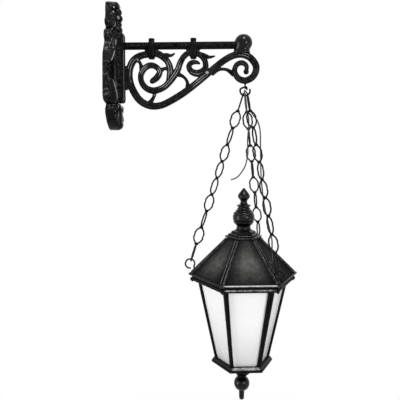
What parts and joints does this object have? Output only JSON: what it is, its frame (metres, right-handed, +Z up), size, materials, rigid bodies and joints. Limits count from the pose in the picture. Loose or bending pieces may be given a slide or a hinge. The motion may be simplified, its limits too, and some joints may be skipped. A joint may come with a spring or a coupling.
{
  "type": "wall lantern",
  "caption": "Black hexagonal lantern with opal panes, hung by three chains and a hook from a cast scroll bracket on a wall plate.",
  "frame": {"origin": "centre of the wall plate's back face, on the wall", "axes": "+X out from the wall along the arm, +Z up, +Y to the left of someone who faces the wall"},
  "size_m": [0.4203, 0.2328, 0.89],
  "materials": {
    "black_paint": "satin",
    "black_wire": "satin",
    "opal_glass": "satin",
    "plated_steel": "satin",
    "porcelain": "gloss",
    "bulb_glass": "gloss",
    "black_rubber": "matte"
  },
  "bodies": {
    "bracket": {"wall_plate": "black_paint", "back_bar": "black_paint", "arm_tube": "black_paint", "scroll_bracket": "black_paint", "collar_inner": "black_paint", "collar_outer": "black_paint", "end_knob": "black_paint"},
    "hanging_eye": {"screw_eye": "black_wire"},
    "hook": {"s_hook": "black_wire"},
    "roof_and_chains": {"chain_left_link_01": "black_wire", "chain_left_link_02": "black_wire", "chain_left_link_03": "black_wire", "chain_left_link_04": "black_wire", "chain_left_link_05": "black_wire", "chain_left_link_06": "black_wire", "chain_left_link_07": "black_wire", "chain_left_link_08": "black_wire", "chain_left_link_09": "black_wire", "chain_left_link_10": "black_wire", "chain_front_link_01": "black_wire", "chain_front_link_02": "black_wire", "chain_front_link_03": "black_wire", "chain_front_link_04": "black_wire", "chain_front_link_05": "black_wire", "chain_front_link_06": "black_wire", "chain_front_link_07": "black_wire", "chain_front_link_08": "black_wire", "chain_front_link_09": "black_wire", "chain_front_link_10": "black_wire", "chain_back_link_01": "black_wire", "chain_back_link_02": "black_wire", "chain_back_link_03": "black_wire", "chain_back_link_04": "black_wire", "chain_back_link_05": "black_wire", "chain_back_link_06": "black_wire", "chain_back_link_07": "black_wire", "chain_back_link_08": "black_wire", "chain_back_link_09": "black_wire", "chain_back_link_10": "black_wire", "eye_left": "black_wire", "eye_front": "black_wire", "eye_back": "black_wire", "roof": "black_paint", "roof_cap": "black_paint", "cord_gland": "black_rubber", "power_cord": "black_rubber"},
    "crown_nut": {"top_finial": "black_paint"},
    "lantern_body": {"lantern_frame": "black_paint", "pane_right_back": "opal_glass", "pane_back": "opal_glass", "pane_left_back": "opal_glass", "pane_left_front": "opal_glass", "pane_front": "opal_glass", "pane_right_front": "opal_glass", "base_plate": "black_paint", "stem_tube": "plated_steel", "bridge_strap": "plated_steel", "lamp_holder": "porcelain"},
    "lamp": {"lamp_bulb": "bulb_glass"},
    "tail_nut": {"bottom_finial": "black_paint"}
  },
  "joints": [
    {"name": "eye_turn", "type": "hinge", "parent": "bracket", "child": "hanging_eye", "pos_m": [0.298, 0, -0.0434], "axis": [0, 0, 1], "range_deg": [-30, 30]},
    {"name": "hook_swing", "type": "hinge", "parent": "hanging_eye", "child": "hook", "pos_m": [0.298, 0, -0.0474], "axis": [0, 1, 0], "range_deg": [-20, 20]},
    {"name": "lantern_swing", "type": "hinge", "parent": "hook", "child": "roof_and_chains", "pos_m": [0.298, 0, -0.06284], "axis": [1, 0, 0], "range_deg": [-20, 20]},
    {"name": "crown_nut_unscrew", "type": "hinge", "parent": "roof_and_chains", "child": "crown_nut", "pos_m": [0.298, 0, -0.3], "axis": [0, 0, 1], "continuous": true},
    {"name": "body_lower", "type": "slide", "parent": "roof_and_chains", "child": "lantern_body", "axis": [0, 0, -1], "range_m": [0, 0.12]},
    {"name": "lamp_unscrew", "type": "hinge", "parent": "lantern_body", "child": "lamp", "pos_m": [0.298, 0, -0.53], "axis": [0, 0, 1], "continuous": true},
    {"name": "tail_nut_unscrew", "type": "hinge", "parent": "lantern_body", "child": "tail_nut", "pos_m": [0.298, 0, -0.71], "axis": [0, 0, 1], "continuous": true}
  ]
}
